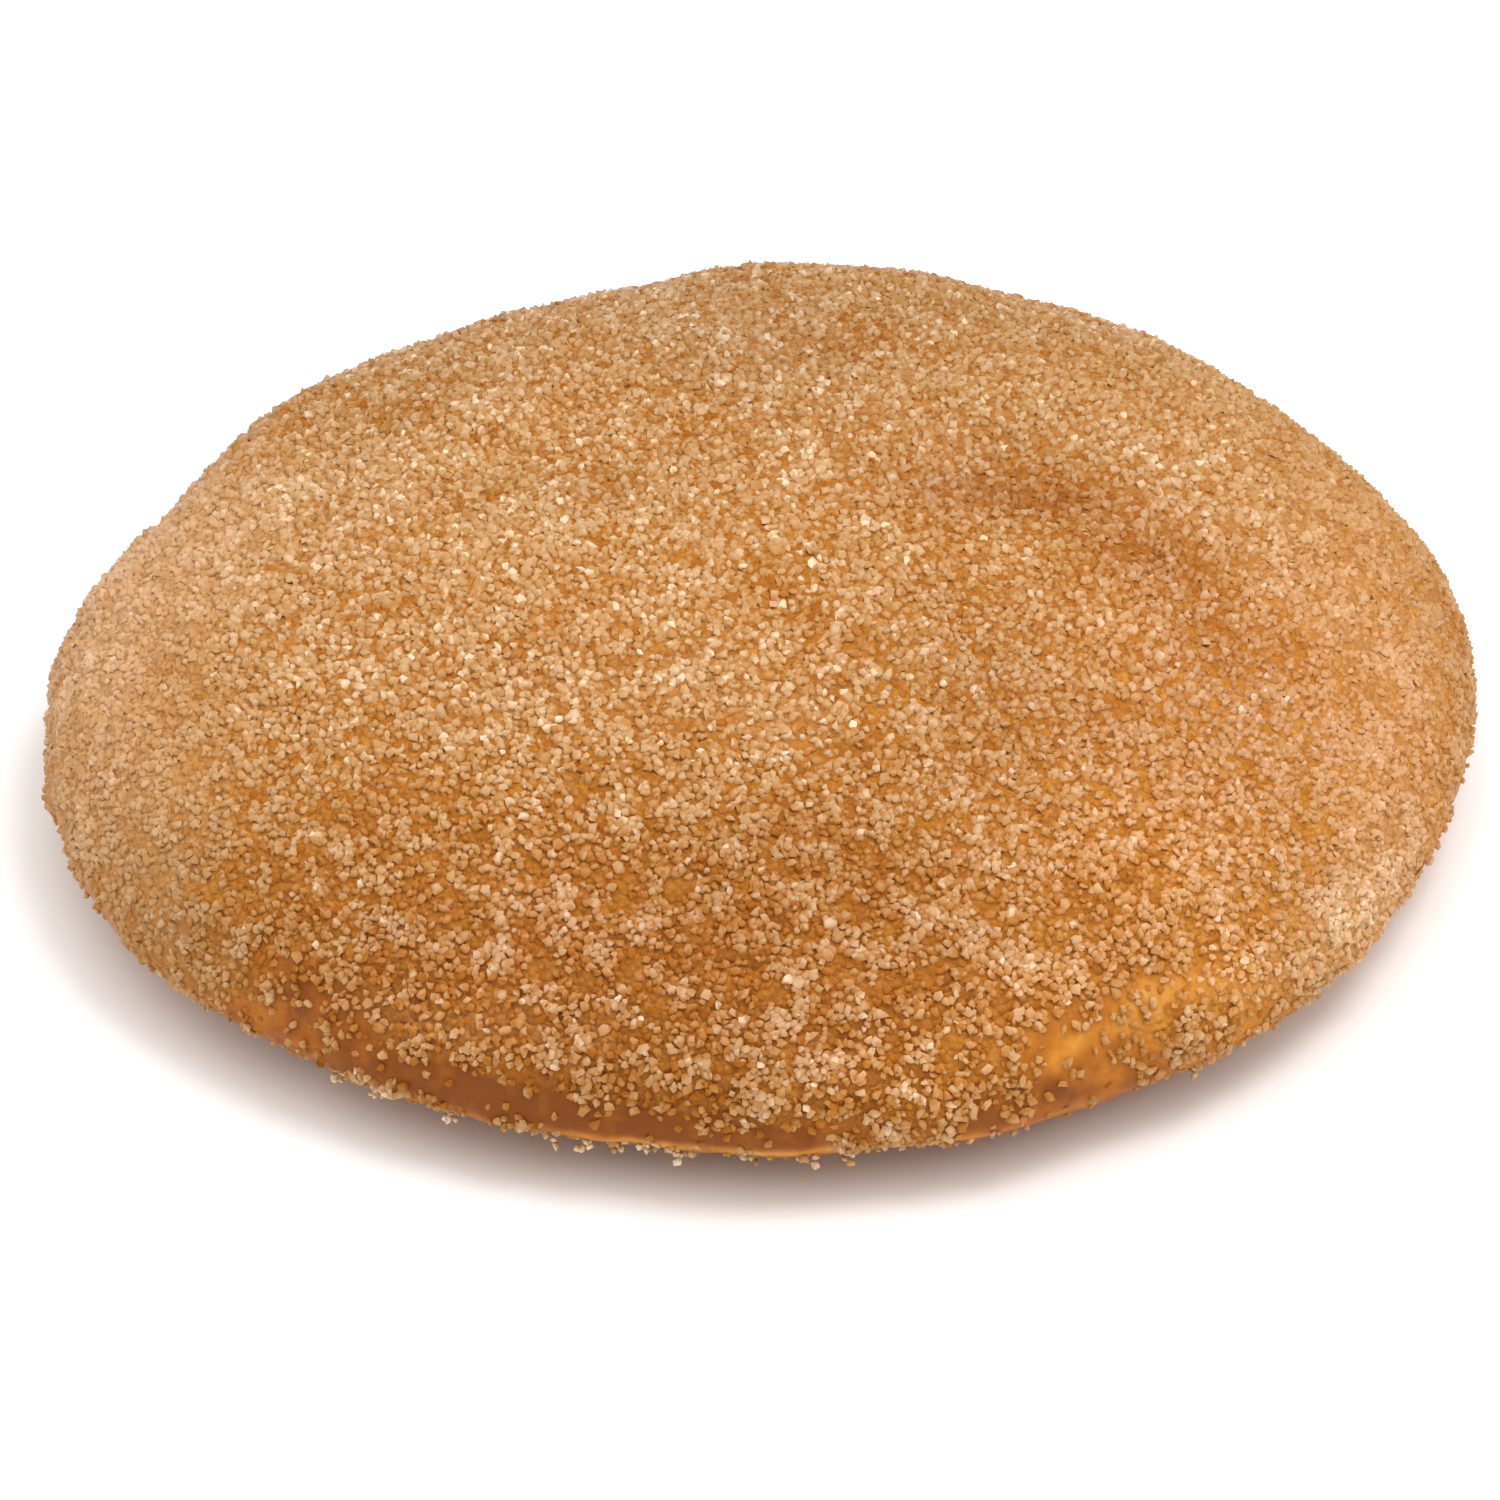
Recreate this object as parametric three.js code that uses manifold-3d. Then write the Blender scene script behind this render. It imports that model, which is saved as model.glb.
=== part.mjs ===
// Apple fritter: a round, low-domed fried pastry with coarse sugar stuck all over it.
// Millimetres, +Z up. It rests on its flattened underside at z = 0, with its broad front towards -Y.
import * as THREE from 'three';
import { mergeVertices } from 'three/addons/utils/BufferGeometryUtils.js';
import Module from 'manifold-3d';

// Driving dimensions
const WIDTH = 108; // left to right, before the rim's waves
const DEPTH = 103; // front to back
const RIM_HEIGHT = 7; // the widest line, above the table
const CROWN_RISE = 20; // the crown, above the widest line
const KEEL_DROP = 8.2; // the underside, below the widest line, before the foot is cut flat
const CROWN_FULLNESS = 2.4; // a higher power keeps the top flat further out
const KEEL_FULLNESS = 3;

// The rim's waves: lobes round the rim, the share of the radius they swell by, and the first lobe's angle
const RIM_WAVES = [
  { lobes: 2, swell: 0.0195, turn: 40 },
  { lobes: 3, swell: 0.0104, turn: -51 },
  { lobes: 4, swell: 0.0082, turn: 9 },
  { lobes: 5, swell: 0.005, turn: 5 },
  { lobes: 6, swell: 0.005, turn: 12 },
];

// Corners and notches of the rim: where, how wide (degrees) and how far out
const RIM_CORNERS = [
  { at: 172, spread: 6, out: 0.6 },
  { at: 158, spread: 5, out: -0.9 },
  { at: 14, spread: 7, out: 0.4 },
  { at: -33, spread: 9, out: 0.6 },
  { at: -59, spread: 6, out: -0.7 },
  { at: -70, spread: 4, out: 0.4 },
  { at: -80, spread: 4, out: -0.3 },
  { at: -89, spread: 4, out: 0.4 },
  { at: -101, spread: 5, out: -0.4 },
  { at: -149, spread: 5, out: 0.4 },
];

// Soft rises and hollows that the apple pieces leave in the top: place, reach along X and Y, and rise
const SWELLS = [
  { x: -16, y: -10, reachX: 22, reachY: 13, rise: 1.5 }, // broad rise left of the middle
  { x: 19, y: -11, reachX: 11, reachY: 9, rise: 1.4 }, // lump right of the middle
  { x: 20, y: 5, reachX: 10, reachY: 5, rise: -1.6 }, // hollow behind that lump
  { x: 34, y: -4, reachX: 5, reachY: 8, rise: -0.8 }, // the hollow's arm down its right side
  { x: -17, y: 8, reachX: 9, reachY: 4, rise: -0.7 }, // shallow valley behind the broad rise
  { x: -32, y: 15, reachX: 5, reachY: 5, rise: -0.8 }, // dent at the back left
  { x: -27, y: 31, reachX: 4, reachY: 8, rise: -0.6 }, // streak running back from it
  { x: 9, y: 23, reachX: 9, reachY: 5, rise: -0.5 }, // shallow dent at the back
  { x: -13, y: -40, reachX: 14, reachY: 7, rise: -1.0 }, // hollow in the front slope
  { x: -38, y: -29, reachX: 8, reachY: 7, rise: -0.8 }, // hollow in the front left slope
  { x: 20, y: -41, reachX: 9, reachY: 5, rise: 0.8 }, // bare bulge at the front right
  { x: 0, y: 43, reachX: 4, reachY: 7, rise: 1.1 }, // two knobs on the back edge
  { x: 13, y: 42, reachX: 3, reachY: 7, rise: 0.6 },
  { x: -36, y: 30, reachX: 8, reachY: 8, rise: 1.2 }, // full shoulders at the back left and right
  { x: 34, y: 32, reachX: 8, reachY: 8, rise: 0.9 },
  { x: 19, y: 40, reachX: 4, reachY: 7, rise: -0.5 }, // between the knobs and the shoulders
  { x: -11, y: 42, reachX: 6, reachY: 7, rise: -0.4 },
];
const SWELL_FADE = 10; // power of the fade that keeps the rim at its own height

// The crust's facets
const CRUST_DETAIL = 14;

// Sugar: the largest clumps, sunk in the crust and spread evenly over all that the foot leaves free
const CLUMP_SPACING = 6.6;
const CLUMP_SMALLEST = 1.0; // side of a clump, half of it sunk
const CLUMP_LARGEST = 1.6;
const CLUMP_TRIES = 9000;
const CLUMP_LOWEST = 2.4; // no clump's middle lies nearer the table
const SUGAR_SEED = 41;

const wasm = await Module();
wasm.setup();

function rimRadius(angle) {
  const ellipse = 1 / Math.hypot(Math.cos(angle) / (WIDTH / 2), Math.sin(angle) / (DEPTH / 2));
  let share = 1;
  for (const wave of RIM_WAVES) {
    const turn = THREE.MathUtils.degToRad(wave.turn);
    share += wave.swell * Math.cos(wave.lobes * (angle - turn));
  }
  let radius = ellipse * share;
  for (const corner of RIM_CORNERS) {
    const at = THREE.MathUtils.degToRad(corner.at);
    const away = Math.atan2(Math.sin(angle - at), Math.cos(angle - at));
    radius += corner.out * Math.exp(-((away / THREE.MathUtils.degToRad(corner.spread)) ** 2));
  }
  return radius;
}

function swellHeight(x, y) {
  let height = 0;
  for (const swell of SWELLS) {
    const away = ((x - swell.x) / swell.reachX) ** 2 + ((y - swell.y) / swell.reachY) ** 2;
    height += swell.rise * Math.exp(-away);
  }
  return height;
}

// The crust's point that a direction from its middle leads to
function crustPoint(direction) {
  const angle = Math.atan2(direction.y, direction.x);
  const share = Math.min(Math.hypot(direction.x, direction.y), 1);
  const radius = rimRadius(angle) * share;
  const x = radius * Math.cos(angle);
  const y = radius * Math.sin(angle);
  if (direction.z < 0) {
    return new THREE.Vector3(x, y, RIM_HEIGHT - KEEL_DROP * Math.sqrt(1 - share ** KEEL_FULLNESS));
  }
  const dome = CROWN_RISE * Math.sqrt(1 - share ** CROWN_FULLNESS);
  const swell = swellHeight(x, y) * (1 - share ** SWELL_FADE);
  return new THREE.Vector3(x, y, RIM_HEIGHT + dome + swell);
}

// A closed geometry as a solid, and back
function solidFrom(geometry) {
  const bare = geometry.clone();
  bare.deleteAttribute('normal');
  bare.deleteAttribute('uv');
  const merged = mergeVertices(bare);
  const vertProperties = merged.attributes.position.array;
  const triVerts = new Uint32Array(merged.index.array);
  return new wasm.Manifold(new wasm.Mesh({ numProp: 3, vertProperties, triVerts }));
}

function geometryFrom(solid) {
  const mesh = solid.getMesh();
  const geometry = new THREE.BufferGeometry();
  geometry.setAttribute('position', new THREE.BufferAttribute(mesh.vertProperties, 3));
  geometry.setIndex(new THREE.BufferAttribute(mesh.triVerts, 1));
  return geometry;
}

function makeCrust() {
  const geometry = new THREE.IcosahedronGeometry(1, CRUST_DETAIL);
  const position = geometry.attributes.position;
  const direction = new THREE.Vector3();
  for (let i = 0; i < position.count; i += 1) {
    const point = crustPoint(direction.fromBufferAttribute(position, i).normalize());
    position.setXYZ(i, point.x, point.y, point.z);
  }
  return solidFrom(geometry);
}

// Repeatable draws between 0 and 1
THREE.MathUtils.seededRandom(SUGAR_SEED);
const draw = () => THREE.MathUtils.seededRandom();

function randomDirection() {
  const height = 2 * draw() - 1;
  const angle = 2 * Math.PI * draw();
  const across = Math.sqrt(1 - height ** 2);
  return new THREE.Vector3(across * Math.cos(angle), across * Math.sin(angle), height);
}

// Places on the crust that keep the clump spacing from each other and stay clear of the foot
function clumpPlaces() {
  const places = [];
  for (let i = 0; i < CLUMP_TRIES; i += 1) {
    const point = crustPoint(randomDirection());
    const free = places.every((place) => place.distanceTo(point) > CLUMP_SPACING);
    if (free && point.z > CLUMP_LOWEST) {
      places.push(point);
    }
  }
  return places;
}

function makeClump(place) {
  const side = () => THREE.MathUtils.lerp(CLUMP_SMALLEST, CLUMP_LARGEST, draw());
  const geometry = new THREE.BoxGeometry(side(), side(), side());
  const turn = new THREE.Euler(Math.PI * draw(), Math.PI * draw(), Math.PI * draw());
  geometry.applyMatrix4(new THREE.Matrix4().makeRotationFromEuler(turn).setPosition(place));
  return solidFrom(geometry);
}

function makeFritter() {
  let solid = makeCrust();
  for (const place of clumpPlaces()) {
    solid = solid.add(makeClump(place));
  }
  const table = new THREE.BoxGeometry(2 * WIDTH, 2 * DEPTH, 2 * KEEL_DROP);
  table.translate(0, 0, -KEEL_DROP);
  const geometry = geometryFrom(solid.subtract(solidFrom(table)));

  // The origin is the middle of the outline, on the table
  geometry.computeBoundingBox();
  const middle = geometry.boundingBox.getCenter(new THREE.Vector3());
  return geometry.translate(-middle.x, -middle.y, 0);
}

const sugaredCrust = new THREE.MeshStandardMaterial({ color: '#cc9a62', roughness: 0.55, metalness: 0 });
const fritter = new THREE.Mesh(makeFritter(), sugaredCrust);
fritter.name = 'fritter';

const part = new THREE.Group();
part.add(fritter);

export default part;
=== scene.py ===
import math

import bmesh
import bpy
import numpy as np
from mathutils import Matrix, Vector, noise
from mathutils.bvhtree import BVHTree


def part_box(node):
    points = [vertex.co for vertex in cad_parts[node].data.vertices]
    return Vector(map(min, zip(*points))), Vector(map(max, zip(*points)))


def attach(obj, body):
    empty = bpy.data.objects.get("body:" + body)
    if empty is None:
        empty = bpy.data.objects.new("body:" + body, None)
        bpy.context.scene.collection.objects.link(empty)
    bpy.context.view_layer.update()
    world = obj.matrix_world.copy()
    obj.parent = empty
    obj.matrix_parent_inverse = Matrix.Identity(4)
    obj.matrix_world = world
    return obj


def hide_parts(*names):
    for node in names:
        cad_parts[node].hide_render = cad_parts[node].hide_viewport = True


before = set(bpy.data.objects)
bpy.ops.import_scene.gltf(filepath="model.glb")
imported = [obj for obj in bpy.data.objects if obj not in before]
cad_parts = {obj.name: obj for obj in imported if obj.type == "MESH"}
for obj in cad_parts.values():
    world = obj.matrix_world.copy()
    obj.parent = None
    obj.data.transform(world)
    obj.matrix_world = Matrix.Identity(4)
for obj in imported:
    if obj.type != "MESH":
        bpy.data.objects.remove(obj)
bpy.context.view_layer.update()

# The looks of an apple fritter: an amber fried crust under a coat of coarse sugar.
# Sizes are in millimetres; a mesh gets them in metres.

MM = 0.001
NODE = "fritter"

# Camera: the photograph's viewing angle, and what the square picture spans at the aim
VIEW_ELEVATION = math.radians(37)
VIEW_DISTANCE = 800 * MM
VIEW_AIM = Vector((-0.77, 0.26, 3.9)) * MM
VIEW_SPAN = 116.2 * MM
SENSOR_WIDTH = 36

# Light, in metres: a pale room, a broad soft lamp overhead, a smaller one to the right, and a low one at
# each side
ROOM_COLOUR = (1, 1, 1, 1)
ROOM_STRENGTH = 0.58
LAMPS = {
    "broad_lamp": {"place": (0.05, -0.16, 1.1), "size": 1.8, "watts": 11.8},
    "small_lamp": {"place": (0.35, -0.1, 1.0), "size": 0.4, "watts": 3},
    "left_lamp": {"place": (-1.0, 0.0, 0.35), "size": 0.8, "watts": 2},
    "right_lamp": {"place": (1.0, 0.0, 0.35), "size": 0.8, "watts": 2},
}
FLOOR_SIZE = 6.0  # metres
FLOOR_FINISH = {"Base Color": (0.95, 0.945, 0.94, 1), "Roughness": 0.9, "Specular IOR Level": 0.1}

# Crust: thrown onto the solid from its middle, with the fused clumps melted away
CRUST_FINENESS = 7  # how often a ball's facets are split
CRUST_MIDDLE = 9.0  # above the table
CRUST_SWELL = 0.25  # makes up for what melting takes away
FOOT_HEIGHT = 0.3  # the crust stands on its sugar
MELT_ROUNDS = 8
MELT_STRENGTH = 0.5
MERGE_DISTANCE = 1e-7  # metres
RELIEF = [(5.0, 0.22), (2.4, 0.16), (1.3, 0.07)]  # span and depth of each size of unevenness

# Where the coat is thicker (sugar above 0) or bare, where the crust is browner or more golden, where the
# sugar is paler or rosier, and where shade (above 0) or light (below 0) is painted on it: each patch is a
# soft ball with a middle and a reach along X, Y and Z
PATCHES = [
    # The top left of the middle, the left end and its shoulder, and the slopes before and behind it, with
    # painted light on the left end and painted shade on those slopes
    {"at": (-22, -8, 27), "reach": (26, 20, 12), "sugar": 0.3},
    {"at": (-49, 0, 14), "reach": (9, 24, 13), "sugar": -0.15, "pale": 0.34, "rosy": 0.04, "dark": -0.08},
    {"at": (-34, 5, 21.5), "reach": (11, 12, 9), "pale": 0.15},
    {"at": (-44, -28, 12), "reach": (7, 9, 7), "pale": 0.06, "dark": 0.12},
    {"at": (-34, -31, 17), "reach": (8, 7, 7), "pale": -0.06, "dark": 0.02},
    {"at": (-29, 21, 23), "reach": (8, 7, 7), "dark": 0.08},
    # A paler line along the front, above the bare rim: painted light where the ridge there faces the light
    {"at": (-16, -45, 12.8), "reach": (15, 4, 3), "pale": 0.1, "dark": -0.06},
    {"at": (-21, -43.5, 12.8), "reach": (6, 4, 3), "dark": -0.1},
    {"at": (6, -48.5, 11.2), "reach": (9, 4, 2.6), "pale": 0.05, "dark": -0.1},
    {"at": (13, -49, 9), "reach": (5, 4, 2.4), "dark": -0.12},
    # The right shoulder, the right end, and the sugar heaped on the rim before it, with painted light on the
    # end and on the heap, and a spot of painted shade on the end
    {"at": (38, 9, 20), "reach": (12, 14, 10), "pale": 0.09},
    {
        "at": (47, -8, 15), "reach": (10, 18, 12),
        "sugar": -0.1, "pale": 0.08, "brown": -0.2, "rosy": 0.05, "dark": -0.12,
    },
    {"at": (52, 2, 15), "reach": (4, 8, 6), "dark": 0.08},
    {"at": (46, -27, 9), "reach": (9, 10, 5), "sugar": 0.35, "brown": -0.3, "pale": 0.2, "dark": -0.14},
    # The right lump and the front right, with painted light on the lump's top and on the front right
    {"at": (30, -24, 19), "reach": (16, 16, 12), "sugar": 0.15, "brown": -0.18, "pale": -0.08, "rosy": 0.05},
    {"at": (29, -34, 17.5), "reach": (9, 8, 8), "dark": -0.15},
    {"at": (27, -14, 25), "reach": (5, 6, 5), "dark": -0.06},
    {"at": (20, -44, 14.5), "reach": (6, 4, 3), "dark": -0.18},
    {"at": (11, -47, 12), "reach": (6, 4, 4), "dark": -0.14},
    # Behind the middle, the slope right of the right lump, and the back, with painted shade on each, most on
    # the back
    {"at": (4, 12, 26), "reach": (16, 8, 6), "pale": 0.07, "dark": 0.04},
    {"at": (35, -12, 21.5), "reach": (7, 8, 6), "pale": -0.07, "rosy": 0.04, "dark": 0.06},
    {"at": (2, 34, 22), "reach": (44, 15, 14), "sugar": -0.15, "brown": 0.2, "pale": 0.14, "dark": 0.16},
    # A browner crescent behind the right lump, with painted shade in the hollow there
    {"at": (14, 3, 26), "reach": (6, 4, 8), "sugar": -0.2, "brown": 0.3, "rosy": 0.04, "dark": 0.1},
    {"at": (22, 4, 25), "reach": (7, 4, 8), "sugar": -0.3, "brown": 0.5, "rosy": 0.08, "dark": 0.12},
    {"at": (29.5, -3, 24.5), "reach": (5, 5, 8), "sugar": -0.2, "brown": 0.3, "rosy": 0.06, "dark": 0.1},
    # Deeper tones on the top, of browner crust and painted shade, and paler streaks between them
    {"at": (17, -21, 25), "reach": (9, 9, 8), "brown": 0.1, "pale": -0.06, "dark": 0.08},
    {"at": (3, -36, 21.5), "reach": (11, 6, 8), "brown": 0.3, "pale": -0.08, "dark": 0.08},
    {"at": (-25, -31, 20), "reach": (9, 5, 8), "brown": 0.2, "pale": -0.06},
    {"at": (-12, 3, 27.5), "reach": (10, 5, 6), "brown": 0.1, "dark": 0.08},
    {"at": (0, 22, 26), "reach": (9, 7, 6), "dark": 0.1},
    {"at": (21, 11, 24.5), "reach": (9, 5, 6), "dark": 0.08},
    {"at": (-12, -20, 26.5), "reach": (9, 6, 6), "pale": 0.06},
    {"at": (2, -24, 25.5), "reach": (7, 4, 6), "pale": 0.1},
    # The browner front slope with a little painted shade, and two deeper bands low on it
    {
        "at": (-10, -43, 16), "reach": (34, 9, 8),
        "sugar": -0.15, "brown": 0.45, "pale": -0.05, "rosy": 0.06, "dark": 0.04,
    },
    {"at": (-7, -48.5, 10.2), "reach": (14, 4, 2), "sugar": -0.2, "brown": 0.2, "pale": -0.08},
    {"at": (16, -48, 9.2), "reach": (7, 4, 1.8), "brown": 0.15, "pale": -0.08},
    # Thin patches at the front left
    {"at": (-34, -38, 11), "reach": (7, 6, 4), "sugar": -0.45, "brown": 0.25},
    {"at": (-29, -41.5, 11), "reach": (5, 4, 2.5), "sugar": -0.3, "brown": 0.1},
    # The golden patch at the front right, with painted light on its right side, and its two most golden spots
    {"at": (19, -47, 11.2), "reach": (4, 4, 1.8), "sugar": -0.45, "brown": -0.1},
    {"at": (36.5, -37, 9.6), "reach": (4, 4, 2), "sugar": -0.4, "brown": -0.2, "dark": -0.15},
    {"at": (23, -45, 11.7), "reach": (5, 5, 2.4), "sugar": -0.55, "brown": -0.12},
    {"at": (28.5, -42, 12.3), "reach": (6, 5, 2.6), "sugar": -0.4, "brown": -0.06},
    {"at": (34, -38.5, 12), "reach": (5, 5, 2.2), "sugar": -0.35, "brown": -0.2, "dark": -0.2},
    {"at": (22.8, -46, 11.2), "reach": (2.0, 3, 1.1), "sugar": -0.2, "brown": -0.3},
    {"at": (29.5, -42, 12.6), "reach": (2.6, 3, 1.1), "sugar": -0.1, "brown": -0.2},
    # The brown rim below that patch, the bare rim at the front, and the golden line along its lower edge
    {"at": (26, -44, 8), "reach": (7, 4, 1.8), "sugar": -0.6, "brown": 0.16},
    {"at": (20, -47.5, 8.4), "reach": (5, 4, 1.6), "sugar": -0.5, "brown": 0.15},
    {"at": (-21, -47, 8.0), "reach": (14, 5, 2.2), "sugar": -0.95, "brown": 0.58},
    {"at": (-2, -51, 7.0), "reach": (14, 5, 1.9), "sugar": -0.6, "brown": 0.5},
    {"at": (-2, -51, 5.5), "reach": (18, 6, 0.7), "brown": -0.75},
]
RIM_BAND = {"height": 6.2, "reach": 2.0, "sugar": -0.7, "brown": 0.2}  # worn bare all round the rim
RIM_BREAKS = 7.0  # how far apart sugar still sticks to that band
RIM_STICKS = (-0.6, 0.3)  # the noise below which it sticks, and above which the band is bare
MOTTLE = {"span": 7.0, "sugar": 0.12, "brown": 0.15, "pale": 0.03}  # unevenness from place to place
BROWN_SHIFT = 5.0  # keeps the browning's mottle apart from the coat's
RIM_SHIFT = 9.0  # and the rim's breaks apart from both
NOISE_GAIN = 1.6  # brings the noise to about -1 to 1
COAT_RANGE = (0.03, 1.6)  # the thinnest and the thickest coat
USUAL_BROWNING = 0.45

# The front slope, the two ends and the right side: how far out each begins, and where it is full
FRONT = (18, 45)
ENDS = (30, 48)
RIGHT = (5, 28)

# Crust colours from golden to brown, the speckle on them, and the blistered skin (scales are per metre)
CRUST_COLOURS = [
    (0.72, 0.36, 0.09),
    (0.61, 0.24, 0.034),
    (0.46, 0.155, 0.018),
    (0.34, 0.10, 0.014),
    (0.23, 0.065, 0.011),
]
CRUST_FINISH = {"Roughness": 0.4, "Specular IOR Level": 0.08}
SPECKLE = {"Scale": 450, "Detail": 5}
SPECKLE_RANGE = {"From Min": 0.3, "From Max": 0.7, "To Min": -0.25, "To Max": 0.25}
SKIN = {"Scale": 1100, "Detail": 3}
SKIN_BUMP = {"Strength": 0.5, "Distance": 0.2 * MM}

# Grains sunk in the crust, where the coat is thick enough to hold them, and a haze where it is palest
SUNK_GRAIN = 0.55
SUNK_COLOUR = (0.50, 0.19, 0.028, 1)
SUNK_BUMP = {"Strength": 0.85, "Distance": 0.6 * MM}
FILM_RANGE = (0.3, 0.75)
HAZE_COLOUR = (0.60, 0.34, 0.155, 1)
HAZE_SHARE = 3.0
HAZE_MOST = 0.85

# Sugar: grains of each kind, their sizes, how far a grain's middle stands out (as a share of its size),
# how much they gather in clusters, and how pale they are; a kind without its own glow has GLOW
SUGAR_SEED = 7
KINDS = {
    "sugar_bed": {"count": 10500, "sizes": (0.45, 0.62), "lift": -0.25, "gather": 0.1, "paleness": 0.22},
    "sugar_low": {"count": 9000, "sizes": (0.57, 0.76), "lift": -0.02, "gather": 0.35, "paleness": 0.45},
    "sugar_high": {"count": 9000, "sizes": (0.6, 0.82), "lift": 0.12, "gather": 0.55, "paleness": 0.48},
}
FRONT_KINDS = {
    "sugar_front_low": {"count": 9000, "sizes": (0.53, 0.74), "lift": 0.0, "gather": 0.3, "paleness": 0.36},
    "sugar_front_high": {"count": 9000, "sizes": (0.55, 0.82), "lift": 0.2, "gather": 0.5, "paleness": 0.42},
}
UNDER_KINDS = {
    "sugar_under": {
        "count": 4200, "sizes": (0.3, 0.5), "lift": 0.1, "gather": 0.5, "paleness": 0.42, "glow": 0.2,
    },
}
UNDER_BELOW = 5.5  # the underside's coat lies below this height
CUBES = ("sugar_bed", "sugar_under")  # the other kinds are rounder

# Clumps that hang on the lower edge: where they lie along the front, and how many at the sides and back
CLUMP = {"sizes": (0.46, 0.68), "lift": 0.4, "paleness": 0.85, "glow": 0.0}
CLUMPS_AT = [-34.5, -31.4, -28.3, -22.9, -15.5, -13, -10.8, -8.5, -6.2, -0.8, 3.5, 6.6, 31.8]
CLUMPS_ROUND = 26
CLUMP_GRAINS = 9
CLUMP_RADIUS = 0.55
EDGE_HEIGHTS = (3.2, 5)
EDGE_FRONT = -25  # the front edge lies before this

# A grain's form: how far it is sheared, stretched and moved at its corners, as shares of its size
MOSTLY_SMALL = 1.2  # a higher power makes more of the grains small
SHEAR = 0.3
STRETCH = 0.25
JITTER = 0.19
END_SHRINK = 0.08  # how much smaller, and how much deeper set, grains are at the two ends
END_SINK = 0.1

# Clusters of grains, and finer ones within them
CLUSTER_SPAN = 2.2
FINE_SPAN = 0.45 * CLUSTER_SPAN
FINE_SHARE = 0.5
CLUSTER_MIDDLE = 0.5  # where grains neither gather nor thin out
CLUSTER_CONTRAST = 0.55
TOP_SHARE = 0.6  # how strongly grains gather on the top; the front slope adds up to 1

# The colour map has a cell for each square facet or each pair of triangular ones: their corners in it
SQUARE_CELL = np.array([[(0.14, 0.14), (0.86, 0.14), (0.86, 0.86), (0.14, 0.86)]])
PAIR_CELL = np.array([
    [(0.08, 0.08), (0.78, 0.08), (0.08, 0.78)],
    [(0.92, 0.92), (0.22, 0.92), (0.92, 0.22)],
])

# Sugar colours from deep to pale, and what shifts them; the last and palest colour is a painted highlight on
# the palest corners
TINTS = [
    (0.37, 0.108, 0.005),
    (0.435, 0.167, 0.021),
    (0.50, 0.246, 0.076),
    (0.565, 0.324, 0.144),
    (0.65, 0.42, 0.232),
    (0.90, 0.70, 0.48),
]
PALEST = 1.25  # the paleness of the last colour
TINT_SPREAD = 0.17  # from grain to grain
CORNER_SPREAD = 0.15  # within a grain
END_CALM = 0.5  # how much evener the colours are at the two ends
RIGHT_CALM = 0.15  # and at the right of the middle
# A corner's height paints light on a grain's top and shade at its base
RISE_PALES = 0.38  # by how much a corner's height pales it
COAT_PALES = 0.12  # and a thick coat
CLUSTER_PALES = 0.27  # and a cluster
BROWN_DEEPENS = 0.3  # by how much a brown crust deepens it
GLOW = 0.5  # how far a facet takes the light of the crust's own slope, as light passes through a grain
SUGAR_FINISH = {
    "Roughness": 0.3, "IOR": 1.4, "Specular IOR Level": 0.05, "Coat Weight": 0.2, "Coat Roughness": 0.08,
}


# Helpers

def new_object(name, data):
    thing = bpy.data.objects.new(name, data)
    bpy.context.scene.collection.objects.link(thing)
    return thing


def look_at(thing, place, target):
    thing.location = place
    thing.rotation_euler = (target - place).to_track_quat("-Z", "Y").to_euler()


def set_values(node, values):
    for name, value in values.items():
        node.inputs[name].default_value = value


def new_material(name, finish):
    """A material with a plain finish, and its shader."""
    material = bpy.data.materials.new(name)
    material.use_nodes = True
    shader = material.node_tree.nodes["Principled BSDF"]
    set_values(shader, finish)
    return material, shader


def attribute(tree, name):
    """A node that reads one of a mesh's own fields."""
    node = tree.nodes.new("ShaderNodeAttribute")
    node.attribute_name = name
    return node


# Stage

def make_camera():
    data = bpy.data.cameras.new("camera")
    data.sensor_width = SENSOR_WIDTH
    data.lens = SENSOR_WIDTH * VIEW_DISTANCE / VIEW_SPAN
    camera = new_object("camera", data)
    back = Vector((0, -math.cos(VIEW_ELEVATION), math.sin(VIEW_ELEVATION)))
    look_at(camera, VIEW_AIM + VIEW_DISTANCE * back, VIEW_AIM)
    bpy.context.scene.camera = camera


def make_light():
    world = bpy.data.worlds.new("room")
    world.use_nodes = True
    set_values(world.node_tree.nodes["Background"], {"Color": ROOM_COLOUR, "Strength": ROOM_STRENGTH})
    bpy.context.scene.world = world
    for name, lamp in LAMPS.items():
        data = bpy.data.lights.new(name, "AREA")
        data.size = lamp["size"]
        data.energy = lamp["watts"]
        look_at(new_object(name, data), Vector(lamp["place"]), Vector((0, 0, 0)))
    bpy.context.scene.view_settings.view_transform = "Standard"


def make_floor():
    mesh = bpy.data.meshes.new("floor")
    bm = bmesh.new()
    bmesh.ops.create_grid(bm, x_segments=1, y_segments=1, size=FLOOR_SIZE / 2)
    bm.to_mesh(mesh)
    bm.free()
    material, _ = new_material("floor_white", FLOOR_FINISH)
    mesh.materials.append(material)
    new_object("floor", mesh)


# Fields over the crust, for places in millimetres

def cloud(places, span, shift=0.0):
    """Smooth noise of about -1 to 1."""
    shift = Vector((shift, 0, 0))
    return np.array([noise.noise(Vector(place) / span + shift) for place in places]) * NOISE_GAIN


def soft_step(values, low, high):
    share = np.clip((values - low) / (high - low), 0, 1)
    return share * share * (3 - 2 * share)


def front_share(places):
    return soft_step(-places[:, 1], *FRONT)


def ends_share(places):
    return soft_step(np.abs(places[:, 0]), *ENDS)


def right_share(places):
    return soft_step(places[:, 0], *RIGHT)


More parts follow.
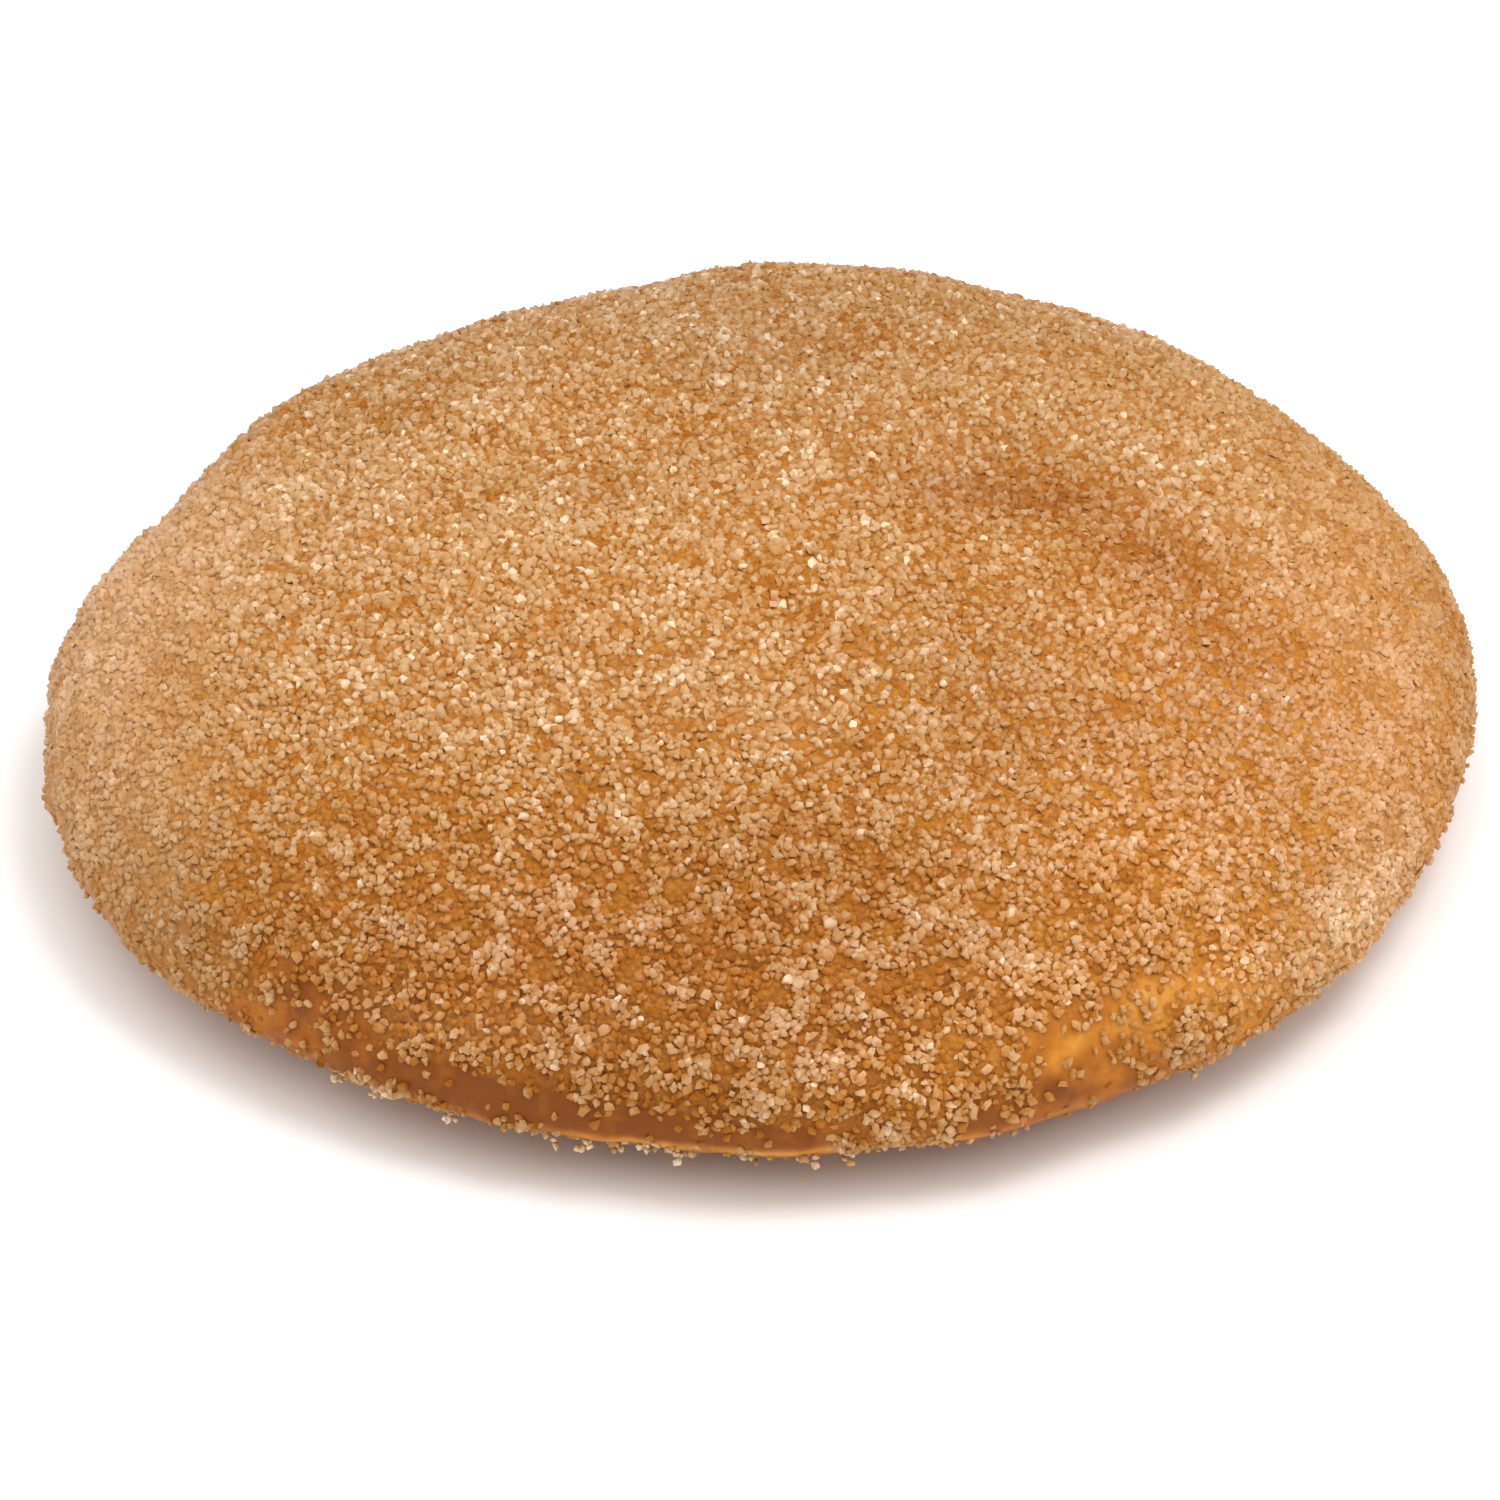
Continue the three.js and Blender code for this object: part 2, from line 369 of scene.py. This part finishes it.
def patch_sum(places, effect):
    """What the mottle, the patches and the worn rim add to one of the effects."""
    shift = BROWN_SHIFT if effect == "brown" else 0.0
    total = MOTTLE.get(effect, 0) * cloud(places, MOTTLE["span"], shift)
    for patch in PATCHES:
        away = (places - np.array(patch["at"])) / np.array(patch["reach"])
        total += patch.get(effect, 0) * np.exp(-(away ** 2).sum(1))
    worn = np.exp(-((places[:, 2] - RIM_BAND["height"]) / RIM_BAND["reach"]) ** 2)
    bare = soft_step(cloud(places, RIM_BREAKS, RIM_SHIFT), *RIM_STICKS)
    return total + RIM_BAND.get(effect, 0) * worn * bare


def coat(places):
    """How thick the sugar lies: 0 is bare, 1 is usual."""
    return np.clip(1 + patch_sum(places, "sugar"), *COAT_RANGE)


def browning(places):
    """0 is golden, 1 is brown."""
    return np.clip(USUAL_BROWNING + patch_sum(places, "brown"), 0, 1)


def clusters(places):
    """Between 0 and 1: where grains gather on the crust."""
    raw = cloud(places, CLUSTER_SPAN) + FINE_SHARE * cloud(places, FINE_SPAN)
    return np.clip(CLUSTER_MIDDLE + CLUSTER_CONTRAST * raw, 0, 1)


# Crust

def solid_tree():
    """The solid's surface, for rays."""
    bm = bmesh.new()
    bm.from_mesh(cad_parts[NODE].data)
    bmesh.ops.remove_doubles(bm, verts=bm.verts, dist=MERGE_DISTANCE)
    tree = BVHTree.FromBMesh(bm)
    bm.free()
    return tree


def relief_height(place):
    """Small unevenness of the fried dough, in metres."""
    height = 0.0
    for span, depth in RELIEF:
        height += depth * MM * noise.noise(place / (span * MM))
    return height


def throw_onto_solid(bm):
    """Moves a ball's points out to the solid's surface."""
    tree = solid_tree()
    low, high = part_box(NODE)
    middle = Vector((0, 0, CRUST_MIDDLE * MM))
    for vert in bm.verts:
        reach = high.z - middle.z if vert.co.z > 0 else middle.z - low.z
        toward = Vector((vert.co.x * high.x, vert.co.y * high.y, vert.co.z * reach))
        vert.co = tree.ray_cast(middle, toward.normalized())[0]


def melt_and_roughen(bm):
    for _ in range(MELT_ROUNDS):
        bmesh.ops.smooth_vert(bm, verts=bm.verts, factor=MELT_STRENGTH,
                              use_axis_x=True, use_axis_y=True, use_axis_z=True)
    bm.normal_update()
    moves = [(relief_height(vert.co) + CRUST_SWELL * MM) * vert.normal for vert in bm.verts]
    for vert, move in zip(bm.verts, moves):
        vert.co += move
        vert.co.z = max(vert.co.z, FOOT_HEIGHT * MM)


def make_crust():
    bm = bmesh.new()
    bmesh.ops.create_icosphere(bm, subdivisions=CRUST_FINENESS, radius=1)
    throw_onto_solid(bm)
    melt_and_roughen(bm)
    mesh = bpy.data.meshes.new("crust")
    bm.to_mesh(mesh)
    bm.free()
    mesh.shade_smooth()
    add_crust_fields(mesh)
    mesh.materials.append(crust_material())
    crust = new_object("crust", mesh)
    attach(crust, "root")
    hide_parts(NODE)
    return crust


def vertex_places(mesh):
    places = np.empty(len(mesh.vertices) * 3)
    mesh.vertices.foreach_get("co", places)
    return places.reshape(-1, 3)


def add_crust_fields(mesh):
    places = vertex_places(mesh) / MM
    fields = {
        "brown": browning(places),
        "film": soft_step(coat(places), *FILM_RANGE),
        "haze": np.clip(HAZE_SHARE * patch_sum(places, "pale"), 0, HAZE_MOST),
    }
    for name, values in fields.items():
        mesh.attributes.new(name, "FLOAT", "POINT").data.foreach_set("value", values)


def browned_colour(tree, place):
    """From golden to brown, with fine speckle on top of the broad browning."""
    speckle = tree.nodes.new("ShaderNodeTexNoise")
    set_values(speckle, SPECKLE)
    tree.links.new(place, speckle.inputs["Vector"])
    spread = tree.nodes.new("ShaderNodeMapRange")
    set_values(spread, SPECKLE_RANGE)
    tree.links.new(speckle.outputs["Fac"], spread.inputs["Value"])
    total = tree.nodes.new("ShaderNodeMath")
    total.operation = "ADD"
    tree.links.new(attribute(tree, "brown").outputs["Fac"], total.inputs[0])
    tree.links.new(spread.outputs["Result"], total.inputs[1])
    ramp = tree.nodes.new("ShaderNodeValToRGB")
    stops = ramp.color_ramp.elements
    last = len(CRUST_COLOURS) - 1
    for i in range(1, last):
        stops.new(i / last)
    for stop, colour in zip(stops, CRUST_COLOURS):
        stop.color = (*colour, 1)
    tree.links.new(total.outputs["Value"], ramp.inputs["Fac"])
    return ramp.outputs["Color"]


def blend(tree, share, base):
    """A node that blends a second colour, its socket B, over the base."""
    node = tree.nodes.new("ShaderNodeMix")
    node.data_type = "RGBA"
    tree.links.new(share, node.inputs["Factor"])
    tree.links.new(base, node.inputs["A"])
    return node


def crust_colour(tree, place, film, cells):
    """The browned crust, sunk grains that each have their own tint, and the haze over both."""
    browned = browned_colour(tree, place)
    sunk = blend(tree, cells.outputs["Color"], browned)
    sunk.inputs["B"].default_value = SUNK_COLOUR
    filmed = blend(tree, film, browned)
    tree.links.new(sunk.outputs["Result"], filmed.inputs["B"])
    hazed = blend(tree, attribute(tree, "haze").outputs["Fac"], filmed.outputs["Result"])
    hazed.inputs["B"].default_value = HAZE_COLOUR
    return hazed.outputs["Result"]


def crust_slope(tree, place, film, cells):
    """Sunk grains stand out a little, and the skin is blistered."""
    depth = tree.nodes.new("ShaderNodeMath")
    depth.operation = "MULTIPLY"
    tree.links.new(cells.outputs["Distance"], depth.inputs[0])
    tree.links.new(film, depth.inputs[1])
    rise = tree.nodes.new("ShaderNodeBump")
    rise.invert = True
    set_values(rise, SUNK_BUMP)
    tree.links.new(depth.outputs["Value"], rise.inputs["Height"])
    skin = tree.nodes.new("ShaderNodeTexNoise")
    set_values(skin, SKIN)
    tree.links.new(place, skin.inputs["Vector"])
    blisters = tree.nodes.new("ShaderNodeBump")
    set_values(blisters, SKIN_BUMP)
    tree.links.new(skin.outputs["Fac"], blisters.inputs["Height"])
    tree.links.new(rise.outputs["Normal"], blisters.inputs["Normal"])
    return blisters.outputs["Normal"]


def crust_material():
    material, shader = new_material("fried_crust", CRUST_FINISH)
    tree = material.node_tree
    place = tree.nodes.new("ShaderNodeTexCoord").outputs["Object"]
    film = attribute(tree, "film").outputs["Fac"]
    cells = tree.nodes.new("ShaderNodeTexVoronoi")
    cells.inputs["Scale"].default_value = 1 / (SUNK_GRAIN * MM)
    tree.links.new(place, cells.inputs["Vector"])
    tree.links.new(crust_colour(tree, place, film, cells), shader.inputs["Base Color"])
    tree.links.new(crust_slope(tree, place, film, cells), shader.inputs["Normal"])
    return material


# Sugar

def crust_faces(crust):
    """Corner places, outward directions and areas of the crust's triangles, in millimetres."""
    mesh = crust.data
    corners = np.empty(len(mesh.polygons) * 3, int)
    mesh.polygons.foreach_get("vertices", corners)
    corners = vertex_places(mesh)[corners.reshape(-1, 3)] / MM
    cross = np.cross(corners[:, 1] - corners[:, 0], corners[:, 2] - corners[:, 0])
    length = np.linalg.norm(cross, axis=1)
    return corners, cross / length[:, None], length / 2


def unit_grain(rounded):
    """A crystal one millimetre wide, as places and faces."""
    bm = bmesh.new()
    if rounded:
        bmesh.ops.create_icosphere(bm, subdivisions=1, radius=0.5)
    else:
        bmesh.ops.create_cube(bm, size=1)
    places = np.array([vert.co for vert in bm.verts])
    faces = np.array([[vert.index for vert in face.verts] for face in bm.faces])
    bm.free()
    return places, faces


def random_turns(draw, count):
    """Rotation matrices, even over all directions."""
    q = draw.normal(size=(count, 4))
    q /= np.linalg.norm(q, axis=1)[:, None]
    w, x, y, z = q.T
    rows = [
        [1 - 2 * (y * y + z * z), 2 * (x * y - z * w), 2 * (x * z + y * w)],
        [2 * (x * y + z * w), 1 - 2 * (x * x + z * z), 2 * (y * z - x * w)],
        [2 * (x * z - y * w), 2 * (y * z + x * w), 1 - 2 * (x * x + y * y)],
    ]
    return np.array(rows).transpose(2, 0, 1)


def grain_shapes(draw, sizes):
    """A turned, stretched and sheared form for each grain."""
    count = len(sizes)
    forms = np.zeros((count, 3, 3))
    for axis in range(3):
        forms[:, axis, axis] = 1 + STRETCH * draw.uniform(-1, 1, count)
    forms[:, 0, 1] = SHEAR * draw.uniform(-1, 1, count)
    forms[:, 1, 2] = SHEAR * draw.uniform(-1, 1, count)
    return random_turns(draw, count) @ forms * sizes[:, None, None]


def scatter(draw, faces, weight, count):
    """At most count places on the crust's faces, in proportion to weight, spread evenly."""
    corners, outward, area = faces
    wanted = area * weight
    wanted *= count / wanted.sum()
    number = np.floor(wanted + draw.uniform(size=len(wanted))).astype(int)
    chosen = np.repeat(np.arange(len(number)), number)
    chosen = draw.permutation(chosen)[:count]
    a, b = draw.uniform(size=(2, len(chosen)))
    flip = a + b > 1
    a[flip], b[flip] = 1 - a[flip], 1 - b[flip]
    one, two, three = corners[chosen].transpose(1, 0, 2)
    places = one + a[:, None] * (two - one) + b[:, None] * (three - one)
    return places, outward[chosen]


def grain_corners(draw, kind, unit, roots, normals):
    """Each grain's corners, seen from its root, and how far they rise above the crust for its size."""
    ends = ends_share(roots)
    small, large = kind["sizes"]
    sizes = small + (large - small) * draw.uniform(size=len(roots)) ** MOSTLY_SMALL
    sizes *= 1 - END_SHRINK * ends
    lift = sizes * (kind["lift"] - END_SINK * ends)
    units = unit + JITTER * draw.uniform(-1, 1, (len(roots), *unit.shape))
    corners = np.einsum("nij,nkj->nki", grain_shapes(draw, sizes), units)
    corners += (normals * lift[:, None])[:, None]
    rise = np.einsum("nki,ni->nk", corners, normals) / sizes[:, None]
    return corners, rise


def grain_paleness(kind, roots):
    """How pale each grain is, by its kind and its place."""
    front = front_share(roots) * (1 - right_share(roots))
    paleness = kind["paleness"] + patch_sum(roots, "pale")
    paleness += CLUSTER_PALES * (TOP_SHARE + front) * (clusters(roots) - CLUSTER_MIDDLE)
    paleness += COAT_PALES * (coat(roots) - 1) - BROWN_DEEPENS * (browning(roots) - USUAL_BROWNING)
    return paleness


def grain_tints(draw, kind, roots, rise):
    """The colour at each grain's corners: deeper near the crust (painted shade, and the crust seen through
    it), paler further out (painted light).
    """
    calm = np.maximum(END_CALM * ends_share(roots), RIGHT_CALM * right_share(roots))
    steps = np.linspace(0, PALEST, len(TINTS))
    spread = TINT_SPREAD * draw.normal(size=(len(rise), 1)) + CORNER_SPREAD * draw.normal(size=rise.shape)
    share = grain_paleness(kind, roots)[:, None] + (spread + RISE_PALES * rise) * (1 - calm)[:, None]
    tints = np.stack([np.interp(share, steps, band) for band in zip(*TINTS)], axis=2)
    tints[:, :, 1] *= 1 - patch_sum(roots, "rosy")[:, None]
    # Painted shade darkens the sugar's colours; below 0 it is painted light, which makes them lighter
    return tints * (1 - patch_sum(roots, "dark")[:, None, None])


def make_grains(draw, name, kind, roots, normals, material):
    unit, faces = unit_grain(rounded=name not in CUBES)
    corners, rise = grain_corners(draw, kind, unit, roots, normals)
    tints = grain_tints(draw, kind, roots, rise)
    places = corners + roots[:, None]
    below_table = np.minimum(places[:, :, 2].min(1), 0)
    places[:, :, 2] -= below_table[:, None]
    mesh = joined_mesh(name, places, faces)
    soften(mesh, places, normals, kind.get("glow", GLOW))
    add_tints(mesh, tints)
    mesh.materials.append(material)
    grains = new_object(name, mesh)
    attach(grains, "root")


def soften(mesh, places, normals, glow):
    """Grains are lit like beads, and partly like the crust below them, because sugar lets light through."""
    facing = places - places.mean(1)[:, None]
    facing /= np.linalg.norm(facing, axis=2)[:, :, None]
    lit = (1 - glow) * facing + glow * normals[:, None]
    lit /= np.linalg.norm(lit, axis=2)[:, :, None]
    mesh.normals_split_custom_set_from_vertices(lit.reshape(-1, 3))


def add_tints(mesh, tints):
    rgba = np.ones((*tints.shape[:2], 4))
    rgba[:, :, :3] = tints
    mesh.attributes.new("tint", "FLOAT_COLOR", "POINT").data.foreach_set("color", rgba.ravel())


def joined_mesh(name, places, faces):
    """One mesh of many grains, each of whose faces has its own place in the colour map."""
    count, corners = places.shape[:2]
    loops = (np.arange(count)[:, None, None] * corners + faces).reshape(-1, faces.shape[1])
    mesh = bpy.data.meshes.new(name)
    mesh.vertices.add(count * corners)
    mesh.vertices.foreach_set("co", (places * MM).ravel())
    mesh.loops.add(loops.size)
    mesh.loops.foreach_set("vertex_index", loops.ravel())
    mesh.polygons.add(len(loops))
    mesh.polygons.foreach_set("loop_start", np.arange(len(loops)) * loops.shape[1])
    mesh.update(calc_edges=True)
    cell = PAIR_CELL if faces.shape[1] == 3 else SQUARE_CELL
    number = np.arange(len(loops)) // len(cell)
    row = math.ceil(math.sqrt(number[-1] + 1))
    steps = np.stack([number % row, number // row], axis=1)
    spots = np.tile(cell, (number[-1] + 1, 1, 1)) + steps[:, None]
    mesh.uv_layers.new(name="OFBake").data.foreach_set("uv", (spots / row).ravel())
    return mesh


def sugar_material():
    material, shader = new_material("sugar", SUGAR_FINISH)
    tree = material.node_tree
    tree.links.new(attribute(tree, "tint").outputs["Color"], shader.inputs["Base Color"])
    return material


def make_clumps(draw, faces, material):
    """Small heaps of grains that hang on the lower edge."""
    corners, outward, _ = faces
    middles = corners.mean(1)
    lowest, highest = EDGE_HEIGHTS
    edge = np.flatnonzero((middles[:, 2] > lowest) & (middles[:, 2] < highest))
    front = edge[middles[edge, 1] < EDGE_FRONT]
    chosen = [front[np.abs(middles[front, 0] - x).argmin()] for x in CLUMPS_AT]
    chosen += list(draw.choice(edge[middles[edge, 1] > EDGE_FRONT], CLUMPS_ROUND, replace=False))
    chosen = np.repeat(chosen, CLUMP_GRAINS)
    roots = middles[chosen] + CLUMP_RADIUS * draw.uniform(-1, 1, (len(chosen), 3))
    make_grains(draw, "sugar_clumps", CLUMP, roots, outward[chosen], material)


def make_sugar(crust):
    draw = np.random.default_rng(SUGAR_SEED)
    faces = crust_faces(crust)
    middles = faces[0].mean(1)
    thickness = coat(middles)
    gathered = clusters(middles)
    above = middles[:, 2] > UNDER_BELOW
    front = np.maximum(front_share(middles), ends_share(middles))
    material = sugar_material()
    zones = [(KINDS, above * (1 - front)), (FRONT_KINDS, above * front), (UNDER_KINDS, ~above)]
    for kinds, zone in zones:
        for name, kind in kinds.items():
            gather = np.minimum(kind["gather"] * (TOP_SHARE + front), 1)
            share = zone * thickness * (1 - gather + 2 * gather * gathered ** 2)
            roots, normals = scatter(draw, faces, share, kind["count"])
            make_grains(draw, name, kind, roots, normals, material)
    make_clumps(draw, faces, material)


make_camera()
make_light()
make_floor()
make_sugar(make_crust())
